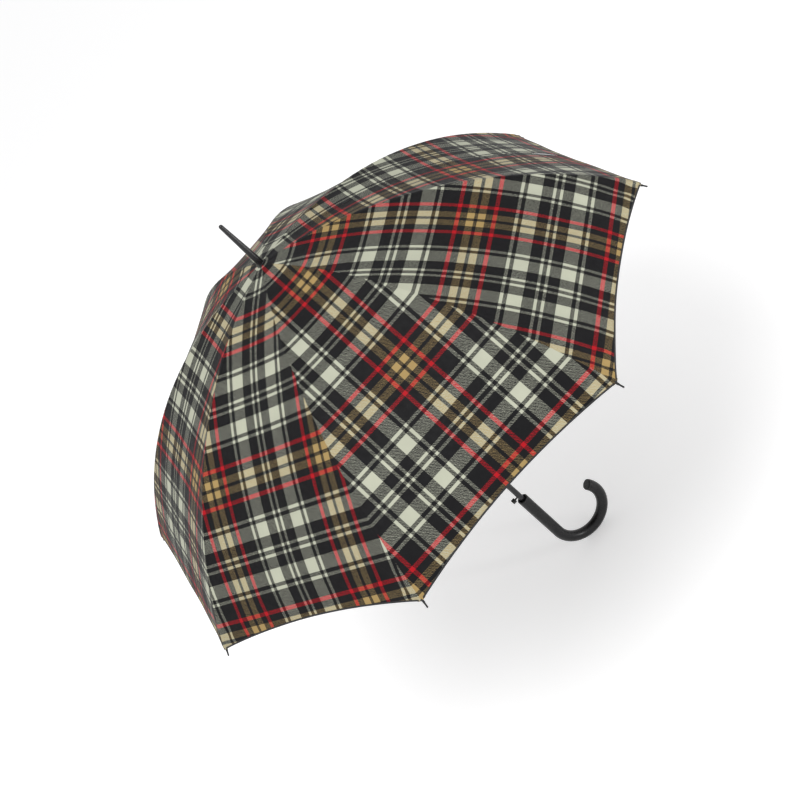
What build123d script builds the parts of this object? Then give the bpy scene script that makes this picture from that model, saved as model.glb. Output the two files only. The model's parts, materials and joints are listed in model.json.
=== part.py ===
"""Automatic stick umbrella, open: eight curved ribs, crook handle, push-button runner release.

Millimetres. +Z runs up the shaft to the ferrule. The origin is on the shaft's axis, halfway
along the straight grip. The crook curls towards +X and the push button is on the -X side.
"""

from build123d import *
from math import atan2, cos, degrees, hypot, radians, sin, tan
import os

# Frame and canopy
RIB_COUNT = 8
RIB_STEP = 360 / RIB_COUNT
HALF_STEP = RIB_STEP / 2
RIB_PHASE = 22.5
RIB_LENGTH = 570.0
SLOPE_CROWN = 5.0
SLOPE_RIM = 55.0
CROWN_RADIUS = 12.0
APEX_Z = 706.0
CANOPY_THICK = 0.8
SCALLOP_DEPTH = 16.0
SECTION_GAP = 0.3

# Rib, stretcher and tip
RIB_WIDTH = 3.0
RIB_DEPTH = 3.2
RIB_WALL = 0.6
CANOPY_RIB_GAP = 0.9
BRACKET_ARC = 283.0
BRACKET_DROP = 4.2
LUG_WIDTH = 2.2
LUG_START_ARC = 9.0
EYE_RADIUS = 2.2
EYE_HOLE_RADIUS = 0.85
RIVET_RADIUS = 0.8
RIVET_PLAY = 0.08
BRACKET_WIDTH = 1.8
BRACKET_RADIUS = 1.9
STRETCHER_WIDTH = 3.6
STRETCHER_DEPTH = 3.6
STRETCHER_WALL = 0.5
STRETCHER_EYE_WIDTH = 2.4
STRETCHER_EYE_RADIUS = 1.8
TONGUE_DEPTH = 2.8
STRETCHER_NECK = 13.0
FLEX_GAP = 0.3
TIP_CUP_RADIUS = 1.7
TIP_CUP_LENGTH = 5.0
TIP_PIN_RADIUS = 1.25
TIP_LENGTH = 13.0

# Shaft, notch and runner
SHAFT_RADIUS = 5.0
SHAFT_BORE = 4.4
SHAFT_BOTTOM_Z = 0.0
SHAFT_TOP_Z = 708.5
PIVOT_RADIUS = 9.0
NOTCH_PIVOT_Z = 701.5
WIRE_RADIUS = 0.6
HUB_RADIUS = 11.0
FIT_GAP = 0.05
RUNNER_BORE = 5.4
RUNNER_SLEEVE = 6.9
RUNNER_BARREL = 7.2
RUNNER_LIP = 8.1
RUNNER_BELOW = 46.0
RUNNER_ABOVE = 14.0
PIN_RADIUS = 0.9
PIN_ABOVE_PIVOT = 9.0
SLOT_WIDTH = 2.4
CLOSED_ANGLE = 0.5
STOP_RADIUS = 1.0
SPRING_SEAT_Z = 112.0
SPRING_SEAT_THICK = 4.0
SPRING_TURNS = 28
SPRING_WIRE = 0.45
SPRING_RADIUS = 3.3

# Handle, button and ferrule
GRIP_RADIUS = 10.0
GRIP_HALF = 55.0
CROOK_RADIUS = 50.0
CROOK_SWEEP = 205.0
CROOK_CAP_LENGTH = 4.0
CUP_RADIUS = 7.4
CUP_DEPTH = 7.0
EDGE_ROUND = 2.5
BUTTON_Z = 64.6
BUTTON_INNER = 9.5
BUTTON_OUTER = 16.5
BUTTON_RADIUS = 4.5
BUTTON_STEM = 1.5
HOOK_Z = 101.0
LATCH_X = -1.9
FERRULE_TOP_Z = 794.0
FERRULE_BASE_Z = 709.0
FERRULE_BASE_RADIUS = 5.4
FERRULE_TIP_RADIUS = 3.3
FERRULE_COLLAR = 10.0
SPIGOT_LENGTH = 15.0
CAP_RADIUS = 6.2
CAP_CROWN_RADIUS = 5.8
STRAP_WIDTH = 16.0
STRAP_THICK = 1.2
STRAP_LENGTH = 165.0
STRAP_RIB = 2
STRAP_GAP = 0.35
STRAP_FROM_RIM = 8.0

LOW_END = (Align.CENTER, Align.CENTER, Align.MIN)

# Worked out from the above: the ribs follow one circular arc
ARC_RADIUS = RIB_LENGTH / radians(SLOPE_RIM - SLOPE_CROWN)
ARC_R = CROWN_RADIUS - ARC_RADIUS * sin(radians(SLOPE_CROWN))
ARC_Z = APEX_Z - ARC_RADIUS * cos(radians(SLOPE_CROWN))
RIB_OUTER = ARC_RADIUS - CANOPY_THICK - CANOPY_RIB_GAP
RIB_INNER = RIB_OUTER - RIB_DEPTH
RIB_MIDDLE = (RIB_OUTER + RIB_INNER) / 2


def slope_at(arc):
    """The canopy's slope below the horizontal, in degrees, at a length along the rib."""
    return SLOPE_CROWN + (SLOPE_RIM - SLOPE_CROWN) * arc / RIB_LENGTH


def rib_point(arc, radius):
    """The (distance from shaft, height) of a point at a length along the rib."""
    slope = radians(slope_at(arc))
    return ARC_R + radius * sin(slope), ARC_Z + radius * cos(slope)


BRACKET_R, BRACKET_Z = rib_point(BRACKET_ARC, RIB_MIDDLE - BRACKET_DROP)
STRETCHER_LENGTH = hypot(BRACKET_R - PIVOT_RADIUS, NOTCH_PIVOT_Z - BRACKET_Z)
OPEN_ANGLE = degrees(atan2(BRACKET_R - PIVOT_RADIUS, NOTCH_PIVOT_Z - BRACKET_Z))
RUNNER_PIVOT_Z = NOTCH_PIVOT_Z - 2 * STRETCHER_LENGTH * cos(radians(OPEN_ANGLE))
RUNNER_CLOSED_Z = NOTCH_PIVOT_Z - 2 * STRETCHER_LENGTH * cos(radians(CLOSED_ANGLE))
SPRING_BOTTOM_Z = SPRING_SEAT_Z + SPRING_SEAT_THICK
PIN_Z = RUNNER_PIVOT_Z + PIN_ABOVE_PIVOT
STOP_Z = RUNNER_PIVOT_Z + RUNNER_ABOVE + 2.2


def around(rib):
    """The turn that carries a piece from azimuth 0 to a rib's azimuth; ribs count from 1."""
    return Rot(0, 0, RIB_PHASE + RIB_STEP * (rib - 1))


def arc_bar(inner, outer, arc_from, arc_to, width):
    """A bar that follows the rib's arc in the XZ plane, centred on that plane."""
    start = 90 - slope_at(arc_to)
    turn = slope_at(arc_to) - slope_at(arc_from)
    top = CenterArc((ARC_R, ARC_Z), outer, start, turn)
    bottom = CenterArc((ARC_R, ARC_Z), inner, start, turn)
    ends = [Line(top @ 0, bottom @ 0), Line(top @ 1, bottom @ 1)]
    return extrude(Plane.XZ * make_face([top, bottom] + ends), width / 2, both=True)


def channel(arc_from, arc_to):
    """A stretch of the rib's pressed steel channel, open on its underside."""
    bar = arc_bar(RIB_INNER, RIB_OUTER, arc_from, arc_to, RIB_WIDTH)
    groove_width = RIB_WIDTH - 2 * RIB_WALL
    return bar - arc_bar(RIB_INNER - 1, RIB_OUTER - RIB_WALL, arc_from - 1, arc_to + 1, groove_width)


def cross_cylinder(x, z, radius, width):
    """A cylinder along Y, centred on the XZ plane."""
    return Pos(x, 0, z) * Rot(90, 0, 0) * Cylinder(radius, width)


def plate(points, width):
    """A flat plate with the given (x, z) outline, centred on the XZ plane."""
    return extrude(Plane.XZ * make_face(Polyline(*points, close=True)), width / 2, both=True)


def bar_between(start, end, depth, width):
    """A straight rectangular bar from one (x, z) point to another, centred on the XZ plane."""
    length = hypot(end[0] - start[0], end[1] - start[1])
    ux, uz = (end[0] - start[0]) / length, (end[1] - start[1]) / length
    nx, nz = -uz * depth / 2, ux * depth / 2
    corners = [
        (start[0] + nx, start[1] + nz),
        (end[0] + nx, end[1] + nz),
        (end[0] - nx, end[1] - nz),
        (start[0] - nx, start[1] - nz),
    ]
    return plate(corners, width)


def along(start, end, distance):
    """The (x, z) point at a distance from start towards end."""
    length = hypot(end[0] - start[0], end[1] - start[1])
    share = distance / length
    return start[0] + (end[0] - start[0]) * share, start[1] + (end[1] - start[1]) * share


NOTCH_PIVOT = (PIVOT_RADIUS, NOTCH_PIVOT_Z)
BRACKET = (BRACKET_R, BRACKET_Z)
RUNNER_PIVOT = (PIVOT_RADIUS, RUNNER_PIVOT_Z)


def inner_rib():
    """The rib from its eye in the notch to the stretcher's bracket."""
    solid = channel(LUG_START_ARC, BRACKET_ARC - FLEX_GAP / 2)
    lug_end = rib_point(LUG_START_ARC + 6, RIB_MIDDLE)
    solid += bar_between(NOTCH_PIVOT, lug_end, RIB_DEPTH - 0.4, LUG_WIDTH)
    solid += cross_cylinder(*NOTCH_PIVOT, EYE_RADIUS, LUG_WIDTH)
    solid -= cross_cylinder(*NOTCH_PIVOT, EYE_HOLE_RADIUS, 2 * LUG_WIDTH)
    foot = rib_point(BRACKET_ARC - 10, RIB_OUTER - RIB_WALL - 0.2)
    heel = rib_point(BRACKET_ARC - 1, RIB_OUTER - RIB_WALL - 0.2)
    toe = (BRACKET_R + BRACKET_RADIUS, BRACKET_Z)
    back = (BRACKET_R - BRACKET_RADIUS, BRACKET_Z)
    bracket = plate([foot, heel, toe, back], BRACKET_WIDTH)
    solid += bracket + cross_cylinder(*BRACKET, BRACKET_RADIUS, BRACKET_WIDTH)
    return solid - cross_cylinder(*BRACKET, RIVET_RADIUS + RIVET_PLAY, 2 * RIB_WIDTH)


def outer_rib():
    """The rib from the stretcher's bracket to the tip."""
    return channel(BRACKET_ARC + FLEX_GAP / 2, RIB_LENGTH - 1)


def rib_tip():
    """The cup on a rib's end, with the pin that stands out past the canopy's corner."""
    cup = Cylinder(TIP_CUP_RADIUS, TIP_CUP_LENGTH, align=LOW_END)
    cup = fillet(cup.edges().group_by(Axis.Z)[-1], 0.4)
    pin_length = TIP_LENGTH - TIP_CUP_LENGTH - TIP_PIN_RADIUS
    pin = Pos(0, 0, TIP_CUP_LENGTH) * Cylinder(TIP_PIN_RADIUS, pin_length, align=LOW_END)
    pin += Pos(0, 0, TIP_LENGTH - TIP_PIN_RADIUS) * Sphere(TIP_PIN_RADIUS)
    end_x, end_z = rib_point(RIB_LENGTH - 1, RIB_MIDDLE)
    return Pos(end_x, 0, end_z) * Rot(0, 90 + SLOPE_RIM, 0) * (cup + pin)


def stretcher():
    """The channel strut from the runner up to the rib's bracket, with its rivet."""
    neck = along(RUNNER_PIVOT, BRACKET, STRETCHER_NECK)
    solid = bar_between(neck, BRACKET, STRETCHER_DEPTH, STRETCHER_WIDTH)
    solid += cross_cylinder(*BRACKET, STRETCHER_DEPTH / 2, STRETCHER_WIDTH)
    inside = STRETCHER_WIDTH - 2 * STRETCHER_WALL
    slope = atan2(BRACKET_Z - RUNNER_PIVOT_Z, BRACKET_R - PIVOT_RADIUS)
    shift_x, shift_z = -sin(slope) * STRETCHER_WALL, cos(slope) * STRETCHER_WALL
    floor_end = along(BRACKET, RUNNER_PIVOT, 6)
    groove_start = (neck[0] + shift_x, neck[1] + shift_z)
    groove_end = (floor_end[0] + shift_x, floor_end[1] + shift_z)
    solid -= bar_between(groove_start, groove_end, STRETCHER_DEPTH, inside)
    past = along(BRACKET, RUNNER_PIVOT, -4)
    solid -= bar_between(floor_end, past, 2 * STRETCHER_DEPTH, inside)
    solid += cross_cylinder(*BRACKET, RIVET_RADIUS, STRETCHER_WIDTH)
    tongue_end = along(RUNNER_PIVOT, BRACKET, STRETCHER_NECK + 4)
    solid += bar_between(RUNNER_PIVOT, tongue_end, TONGUE_DEPTH, STRETCHER_EYE_WIDTH)
    solid += cross_cylinder(*RUNNER_PIVOT, STRETCHER_EYE_RADIUS, STRETCHER_EYE_WIDTH)
    return solid - cross_cylinder(*RUNNER_PIVOT, EYE_HOLE_RADIUS, 2 * STRETCHER_WIDTH)


def panel_band(inner, outer, arc_from, arc_to, width):
    """A curved band of a flat-stretched panel: straight from rib to rib, curved crown to rim."""
    squeeze = cos(radians(HALF_STEP))
    centre = (ARC_R * squeeze, ARC_Z)
    start = 90 - slope_at(arc_to)
    turn = slope_at(arc_to) - slope_at(arc_from)
    top = EllipticalCenterArc(centre, outer * squeeze, outer, start, arc_size=turn)
    bottom = EllipticalCenterArc(centre, inner * squeeze, inner, start, arc_size=turn)
    ends = [Line(top @ 0, bottom @ 0), Line(top @ 1, bottom @ 1)]
    return extrude(Plane.XZ * make_face([top, bottom] + ends), width / 2, both=True)


def half_panel():
    """Half of one panel, from the rib at azimuth 0 to the middle of the panel beside it."""
    half_rim = rib_point(RIB_LENGTH, ARC_RADIUS)[0] * sin(radians(HALF_STEP))
    band = panel_band(ARC_RADIUS - CANOPY_THICK, ARC_RADIUS, 0, RIB_LENGTH, 2.4 * half_rim)
    rim_r, rim_z = rib_point(RIB_LENGTH, ARC_RADIUS)
    rim_x = rim_r * cos(radians(HALF_STEP))
    fall = atan2(tan(radians(SLOPE_RIM)), cos(radians(HALF_STEP)))
    scallop_radius = (half_rim**2 + SCALLOP_DEPTH**2) / (2 * SCALLOP_DEPTH)
    offset = scallop_radius - SCALLOP_DEPTH
    centre = Pos(rim_x + offset * cos(fall), 0, rim_z - offset * sin(fall))
    cutter = centre * Rot(0, degrees(fall), 0) * Cylinder(scallop_radius, 300)
    band = Rot(0, 0, HALF_STEP) * (band - cutter)
    reach = 700.0
    start = SECTION_GAP / 2 / sin(radians(HALF_STEP))
    edge = (start + reach * cos(radians(HALF_STEP)), reach * sin(radians(HALF_STEP)))
    wedge = extrude(make_face(Polyline((start, 0), (reach, 0), edge, close=True)), APEX_Z + 10)
    return band & wedge


def canopy_section():
    """The canopy carried by one rib: half a panel on each side of it, creased along the rib."""
    half = half_panel()
    return half + mirror(half, about=Plane.XZ)


def ring_wire(z):
    """A wire ring through the eyes of the ribs or stretchers."""
    return Pos(0, 0, z) * Torus(PIVOT_RADIUS, WIRE_RADIUS)


def turned(points):
    """A solid turned about the shaft's axis from an (x, z) outline."""
    return revolve(Plane.XZ * make_face(Polyline(*points, close=True)), Axis.Z)


def radial_slots(inner, width, low, high):
    """Slots that run outwards at each rib's azimuth."""
    length = 2 * HUB_RADIUS
    slot = Pos(inner + length / 2, 0, (low + high) / 2) * Box(length, width, high - low)
    return [around(rib) * slot for rib in range(1, RIB_COUNT + 1)]


def wire_groove(z):
    """The groove round a hub that the wire ring lies in."""
    low, high = z - WIRE_RADIUS, z + WIRE_RADIUS
    inner = PIVOT_RADIUS - WIRE_RADIUS
    return turned([(inner, low), (HUB_RADIUS + 1, low), (HUB_RADIUS + 1, high), (inner, high)])


def notch():
    """The fixed hub at the top of the shaft, slotted for the ribs' eyes."""
    low, high = NOTCH_PIVOT_Z - 7.5, NOTCH_PIVOT_Z + 3.5
    bore = SHAFT_RADIUS + FIT_GAP
    skirt = [(bore, low - 8), (RUNNER_SLEEVE, low - 8), (RUNNER_SLEEVE, low)]
    solid = turned(skirt + [(HUB_RADIUS, low), (HUB_RADIUS, high), (bore, high)])
    for slot in radial_slots(PIVOT_RADIUS - EYE_RADIUS - 0.4, LUG_WIDTH + 0.6, low - 1, high - 1):
        solid -= slot
    return solid - wire_groove(NOTCH_PIVOT_Z)


def runner():
    """The sliding sleeve with its slotted crown; a cross pin runs through its top."""
    low, high = RUNNER_PIVOT_Z - 3.6, RUNNER_PIVOT_Z + 3.0
    bottom, top = RUNNER_PIVOT_Z - RUNNER_BELOW, RUNNER_PIVOT_Z + RUNNER_ABOVE
    outline = [
        (RUNNER_BORE, bottom),
        (RUNNER_LIP, bottom),
        (RUNNER_LIP, bottom + 5),
        (RUNNER_BARREL, bottom + 7),
        (RUNNER_BARREL, low - 6),
        (HUB_RADIUS, low),
        (HUB_RADIUS, high),
        (RUNNER_SLEEVE, high),
        (RUNNER_SLEEVE, top),
        (RUNNER_BORE, top),
    ]
    solid = turned(outline)
    for slot in radial_slots(RUNNER_SLEEVE, STRETCHER_EYE_WIDTH + 0.6, low + 0.8, high + 1):
        solid -= slot
    solid -= wire_groove(RUNNER_PIVOT_Z)
    solid -= Pos(-RUNNER_SLEEVE, 0, bottom + 9.5) * Box(6, 3.6, 7)
    return solid - cross_cylinder(0, PIN_Z, PIN_RADIUS, 4 * HUB_RADIUS)


def runner_pin():
    """The pin across the runner that the spring in the shaft pushes on."""
    return cross_cylinder(0, PIN_Z, PIN_RADIUS, 2 * RUNNER_SLEEVE)


def shaft():
    """The steel tube, slotted on both sides for the runner's pin and drilled for the button."""
    height = SHAFT_TOP_Z - SHAFT_BOTTOM_Z
    solid = Cylinder(SHAFT_RADIUS, height, align=LOW_END) - Cylinder(SHAFT_BORE, height, align=LOW_END)
    solid = Pos(0, 0, SHAFT_BOTTOM_Z) * solid
    closed_pin = RUNNER_CLOSED_Z + PIN_ABOVE_PIVOT
    low, high = closed_pin - 3, PIN_Z + 3
    solid -= Pos(0, 0, (low + high) / 2) * Box(SLOT_WIDTH, 4 * SHAFT_RADIUS, high - low)
    solid -= Pos(-SHAFT_RADIUS, 0, BUTTON_Z) * Rot(0, 90, 0) * Cylinder(BUTTON_STEM + 0.3, 4)
    solid -= Pos(-SHAFT_RADIUS, 0, HOOK_Z) * Box(4, 2.8, 7)
    return solid - cross_cylinder(0, STOP_Z, STOP_RADIUS, 4 * SHAFT_RADIUS)


def top_stop():
    """The pin across the shaft that the runner comes to rest under when open."""
    return cross_cylinder(0, STOP_Z, STOP_RADIUS, 2 * RUNNER_SLEEVE)


def drive_spring():
    """The long compression spring inside the shaft that throws the runner up."""
    height = PIN_Z - PIN_RADIUS - SPRING_BOTTOM_Z - 2 * SPRING_WIRE - 0.2
    path = Helix(height / SPRING_TURNS, height, SPRING_RADIUS)
    section = Plane(origin=path @ 0, z_dir=path % 0) * Circle(SPRING_WIRE)
    return Pos(0, 0, SPRING_BOTTOM_Z + SPRING_WIRE + 0.1) * sweep(section, path=path)


def spring_seat():
    """The plug crimped into the shaft that the drive spring stands on."""
    centre_z = SPRING_SEAT_Z + SPRING_SEAT_THICK / 2
    return Pos(0, 0, centre_z) * Cylinder(SHAFT_BORE - 0.02, SPRING_SEAT_THICK)


def handle():
    """The moulded crook: a straight grip with a cup round the shaft, and a bend past a half turn."""
    grip = Pos(0, 0, -GRIP_HALF) * Cylinder(GRIP_RADIUS, 2 * GRIP_HALF, align=LOW_END)
    grip = fillet(grip.edges().group_by(Axis.Z)[-1], EDGE_ROUND)
    centre = (CROOK_RADIUS, -GRIP_HALF)
    bend = Plane.XZ * CenterArc(centre, CROOK_RADIUS, 180, CROOK_SWEEP)
    crook = sweep(Plane(origin=bend @ 0, z_dir=bend % 0) * Circle(GRIP_RADIUS), path=bend)
    solid = grip + crook
    solid -= Pos(0, 0, GRIP_HALF - CUP_DEPTH) * Cylinder(CUP_RADIUS, CUP_DEPTH + 1, align=LOW_END)
    return solid - Pos(0, 0, SHAFT_BOTTOM_Z) * Cylinder(SHAFT_RADIUS + 0.02, GRIP_HALF, align=LOW_END)


def crook_cap():
    """The cap that closes the crook's free end."""
    bend = Plane.XZ * CenterArc((CROOK_RADIUS, -GRIP_HALF), CROOK_RADIUS, 180, CROOK_SWEEP)
    cap = Cylinder(GRIP_RADIUS - 0.2, CROOK_CAP_LENGTH, align=LOW_END)
    cap = fillet(cap.edges().group_by(Axis.Z)[-1], 1.6)
    return Plane(origin=bend @ 1, z_dir=bend % 1) * cap


def push_button():
    """The release knob on its stem, beside the shaft just above the grip."""
    knob = Cylinder(BUTTON_RADIUS, BUTTON_OUTER - BUTTON_INNER, align=LOW_END)
    knob = fillet(knob.edges().group_by(Axis.Z)[-1], 1.6)
    stem = Pos(0, 0, 1.5 - BUTTON_INNER) * Cylinder(BUTTON_STEM, BUTTON_INNER, align=LOW_END)
    return Pos(-BUTTON_INNER, 0, BUTTON_Z) * Rot(0, -90, 0) * (knob + stem)


def catch_hook():
    """The latch strip inside the shaft; its tooth holds the closed runner until pressed."""
    low, high = BUTTON_Z - 3, HOOK_Z + 4
    strip = Pos(LATCH_X, 0, low) * Box(0.8, 4.4, high - low, align=LOW_END)
    strip -= Pos(LATCH_X, 0, BUTTON_Z) * Rot(0, 90, 0) * Cylinder(BUTTON_STEM, 2)
    tooth_tip = -SHAFT_RADIUS - 0.2
    tooth = [
        (LATCH_X, HOOK_Z - 2.5),
        (tooth_tip, HOOK_Z + 1.0),
        (tooth_tip, HOOK_Z + 2.5),
        (LATCH_X, HOOK_Z + 2.5),
    ]
    return strip + plate(tooth, 2.2)


def button_spring():
    """The small spring inside the shaft that returns the button."""
    height = 3.9
    path = Helix(1.1, height - 0.8, 1.3)
    section = Plane(origin=path @ 0, z_dir=path % 0) * Circle(0.2)
    return Pos(-0.6, 0, BUTTON_Z) * Rot(0, 90, 0) * sweep(section, path=path)


def ferrule():
    """The long tapered point above the canopy, with a spigot down into the shaft."""
    spigot, low = SHAFT_BORE - 0.02, SHAFT_TOP_Z - SPIGOT_LENGTH
    collar = FERRULE_BASE_Z + FERRULE_COLLAR
    tip_centre = FERRULE_TOP_Z - FERRULE_TIP_RADIUS
    sides = Polyline(
        (0, FERRULE_TOP_Z),
        (0, low),
        (spigot, low),
        (spigot, FERRULE_BASE_Z),
        (FERRULE_BASE_RADIUS, FERRULE_BASE_Z),
        (FERRULE_BASE_RADIUS, collar),
        (FERRULE_TIP_RADIUS, tip_centre),
    )
    tip = CenterArc((0, tip_centre), FERRULE_TIP_RADIUS, 0, 90)
    return revolve(Plane.XZ * make_face([sides, tip]), Axis.Z)


def crown_cap():
    """The domed washer that the ferrule clamps the canopy's crown under."""
    bore, low = SHAFT_RADIUS + FIT_GAP, APEX_Z + 0.3
    rim, crown = low + 0.8, low + 2.5
    sides = [(bore, low), (CAP_RADIUS, low), (CAP_RADIUS, rim), (CAP_CROWN_RADIUS, crown), (bore, crown)]
    return turned(sides)


def crown_patch():
    """The disc of canopy cloth clamped round the shaft between the notch and the cap."""
    disc = Cylinder(CROWN_RADIUS - 1.3, CANOPY_THICK) - Cylinder(SHAFT_RADIUS + FIT_GAP, CANOPY_THICK)
    return Pos(0, 0, APEX_Z - CANOPY_THICK / 2 - 0.05) * disc


def tie_strap():
    """The closing strap, laid back along one rib's seam on the outside of the canopy."""
    low = ARC_RADIUS + STRAP_GAP
    end = RIB_LENGTH - STRAP_FROM_RIM
    return arc_bar(low, low + STRAP_THICK, end - STRAP_LENGTH, end, STRAP_WIDTH)


def strap_snap():
    """The press stud near the strap's free end."""
    arc = RIB_LENGTH - STRAP_FROM_RIM - STRAP_LENGTH + 12
    x, z = rib_point(arc, ARC_RADIUS + STRAP_GAP + STRAP_THICK)
    tilt = slope_at(arc)
    stud = Cylinder(5.0, 1.4, align=LOW_END)
    stud = fillet(stud.edges().group_by(Axis.Z)[-1], 0.6)
    return Pos(x, 0, z) * Rot(0, tilt, 0) * Pos(0, 0, 0.06) * stud


def one_off_pieces():
    """Every piece that there is one of, by name."""
    return {
        "shaft": shaft(),
        "ferrule": ferrule(),
        "crown_cap": crown_cap(),
        "crown_patch": crown_patch(),
        "notch": notch(),
        "notch_wire": ring_wire(NOTCH_PIVOT_Z),
        "runner": runner(),
        "runner_wire": ring_wire(RUNNER_PIVOT_Z),
        "runner_pin": runner_pin(),
        "top_stop": top_stop(),
        "drive_spring": drive_spring(),
        "spring_seat": spring_seat(),
        "handle": handle(),
        "crook_cap": crook_cap(),
        "push_button": push_button(),
        "catch_hook": catch_hook(),
        "button_spring": button_spring(),
        "tie_strap": around(STRAP_RIB) * tie_strap(),
        "strap_snap": around(STRAP_RIB) * strap_snap(),
    }


def rib_pieces():
    """Every piece that repeats at each rib, by name."""
    patterns = {
        "rib_inner": inner_rib(),
        "rib_outer": outer_rib(),
        "rib_tip": rib_tip(),
        "stretcher": stretcher(),
        "canopy": canopy_section(),
    }
    numbered = range(1, RIB_COUNT + 1)
    return {f"{name}_{rib}": around(rib) * solid for name, solid in patterns.items() for rib in numbered}


os.makedirs("parts", exist_ok=True)
for node, solid in {**one_off_pieces(), **rib_pieces()}.items():
    export_step(solid, f"parts/{node}.step")
print("stretcher", round(STRETCHER_LENGTH, 3), "open angle", round(OPEN_ANGLE, 4))
print("bracket", round(BRACKET_R, 3), round(BRACKET_Z, 3), "runner pivot", round(RUNNER_PIVOT_Z, 3))
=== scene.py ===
import json
import math

import bmesh
import bpy
from mathutils import Matrix, Quaternion, Vector, noise


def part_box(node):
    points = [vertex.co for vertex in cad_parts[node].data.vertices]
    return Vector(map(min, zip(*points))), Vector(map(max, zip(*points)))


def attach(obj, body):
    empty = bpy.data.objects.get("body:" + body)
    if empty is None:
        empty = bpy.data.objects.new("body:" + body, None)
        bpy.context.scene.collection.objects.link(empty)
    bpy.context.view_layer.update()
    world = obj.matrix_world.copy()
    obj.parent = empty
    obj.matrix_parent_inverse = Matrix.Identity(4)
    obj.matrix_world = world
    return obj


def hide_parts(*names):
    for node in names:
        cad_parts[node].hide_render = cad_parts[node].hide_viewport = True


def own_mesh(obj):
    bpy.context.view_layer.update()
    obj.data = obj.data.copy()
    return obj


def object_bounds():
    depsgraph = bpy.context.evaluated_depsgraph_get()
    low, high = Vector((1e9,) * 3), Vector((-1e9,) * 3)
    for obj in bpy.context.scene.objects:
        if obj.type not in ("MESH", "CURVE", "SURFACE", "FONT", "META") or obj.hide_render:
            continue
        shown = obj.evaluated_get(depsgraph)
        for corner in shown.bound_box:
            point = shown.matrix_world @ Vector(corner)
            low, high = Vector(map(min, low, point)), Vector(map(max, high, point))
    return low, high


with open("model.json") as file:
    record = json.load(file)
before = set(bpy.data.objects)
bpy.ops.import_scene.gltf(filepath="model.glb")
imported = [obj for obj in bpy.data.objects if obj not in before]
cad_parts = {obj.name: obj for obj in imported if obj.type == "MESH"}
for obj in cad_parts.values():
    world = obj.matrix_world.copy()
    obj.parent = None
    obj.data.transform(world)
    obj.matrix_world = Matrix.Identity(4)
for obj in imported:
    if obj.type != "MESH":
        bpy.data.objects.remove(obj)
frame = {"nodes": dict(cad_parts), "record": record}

bl_info = {
    "name": "Tartan Stick Umbrella",
    "version": (1, 0, 0),
    "blender": (4, 5, 0),
    "location": "View3D > Sidebar > Umbrella",
    "description": "Builds the cloth, fittings and finishes of an open stick umbrella round its frame",
    "category": "Object",
}

CAD_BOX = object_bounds()
UP = Vector((0, 0, 1))

# The frame: eight ribs, rib 1 at 22.5 degrees; panel n lies between rib n and rib n + 1
RIBS = range(1, 9)
RIB_STEP = math.tau / len(RIBS)
HALF_STEP = RIB_STEP / 2
CANOPY_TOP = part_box("canopy_1")[1].z
STRAP_RIB = 2

# The handle's sizes, from the frame
HANDLE_LOW, HANDLE_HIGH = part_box("handle")
GRIP_RADIUS = (HANDLE_HIGH.y - HANDLE_LOW.y) / 2
CROOK_RADIUS = (HANDLE_HIGH.x - HANDLE_LOW.x) / 2 - GRIP_RADIUS
CROOK_CENTRE = Vector((CROOK_RADIUS, 0, HANDLE_LOW.z + GRIP_RADIUS + CROOK_RADIUS))
SHAFT_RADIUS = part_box("shaft")[1].y

# How each half panel would fold on to its rib, which nothing here applies: the flattening direction
# (outwards, around, up) in the rib's own frame, how far along it the fold's plane lies, and the share of
# the spread that stays
FOLD_INNER = ((-0.067, 0.967, -0.245), -0.169, 0.085)
FOLD_OUTER = ((-0.247, 0.916, -0.316), -0.2655, 0.070)

# The order in which a thread shows over one of another colour that crosses it, lowest first
COVER = {"red": 0.22, "black": 0.25, "white": 0.75, "tan": 0.88}
COVER_SHIFT = 0.30
# The tartan's stripes in millimetres, from the middle of the tan stripes to the middle of the white
SETT = (
    ("black", 2.4),
    ("tan", 10.2),
    ("black", 10.0),
    ("red", 5.8),
    ("black", 25.4),
    ("white", 4.4),
    ("black", 5.4),
    ("white", 20.0),
    ("black", 15.8),
    ("white", 4.4),
    ("black", 3.1),
)
HALF_SETT = sum(width for name, width in SETT) / 1000
SETT_CENTRE_ARC = 0.315
# Where each panel's cutting put the tan stripes, sideways from its middle, for panels 1 to 8
PANEL_SHIFTS = (-0.085, 0.060, -0.020, 0.076, -0.104, 0.0225, 0.0437, -0.045)

# Each plain finish: its colour, metallic share, lowest and highest roughness, the grain's scale and
# depth, and its coat
SOLID_FINISHES = {
    "black_ferrule": ((0.008, 0.008, 0.009), 0.0, 0.20, 0.32, 700.0, 0.00003, 0.2),
    "black_knob": ((0.007, 0.007, 0.007), 0.0, 0.30, 0.42, 900.0, 0.00003),
    "black_hub": ((0.014, 0.014, 0.014), 0.0, 0.42, 0.58, 1100.0, 0.00005),
    "black_shaft": ((0.020, 0.020, 0.022), 0.55, 0.24, 0.36, 420.0, 0.00001, 0.3),
    "rib_steel": ((0.040, 0.040, 0.043), 0.7, 0.30, 0.46, 800.0, 0.00002),
    "bright_steel": ((0.52, 0.52, 0.53), 1.0, 0.22, 0.38, 1400.0, 0.00001),
    "black_tip": ((0.012, 0.012, 0.013), 0.3, 0.30, 0.45, 900.0, 0.00002),
    "black_thread": ((0.010, 0.010, 0.011), 0.0, 0.65, 0.85, 2600.0, 0.00008),
}
# Each side of the cloth: how light it is, and the share of its colour that is lost
TARTAN_FINISHES = {"tartan_outside": (0.62, 0.0), "tartan_inside": (0.42, 0.25)}
BOTH_SIDES = tuple(TARTAN_FINISHES)
# Half the width of the mould's parting line on the grip
PARTING_LINE = 0.00022

# Meshing of the cloth, and the angle from which an edge is drawn sharp
SHARP_ANGLE = math.radians(50)
CLOTH_COLUMNS = 22
CLOTH_ROWS = 60
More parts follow.
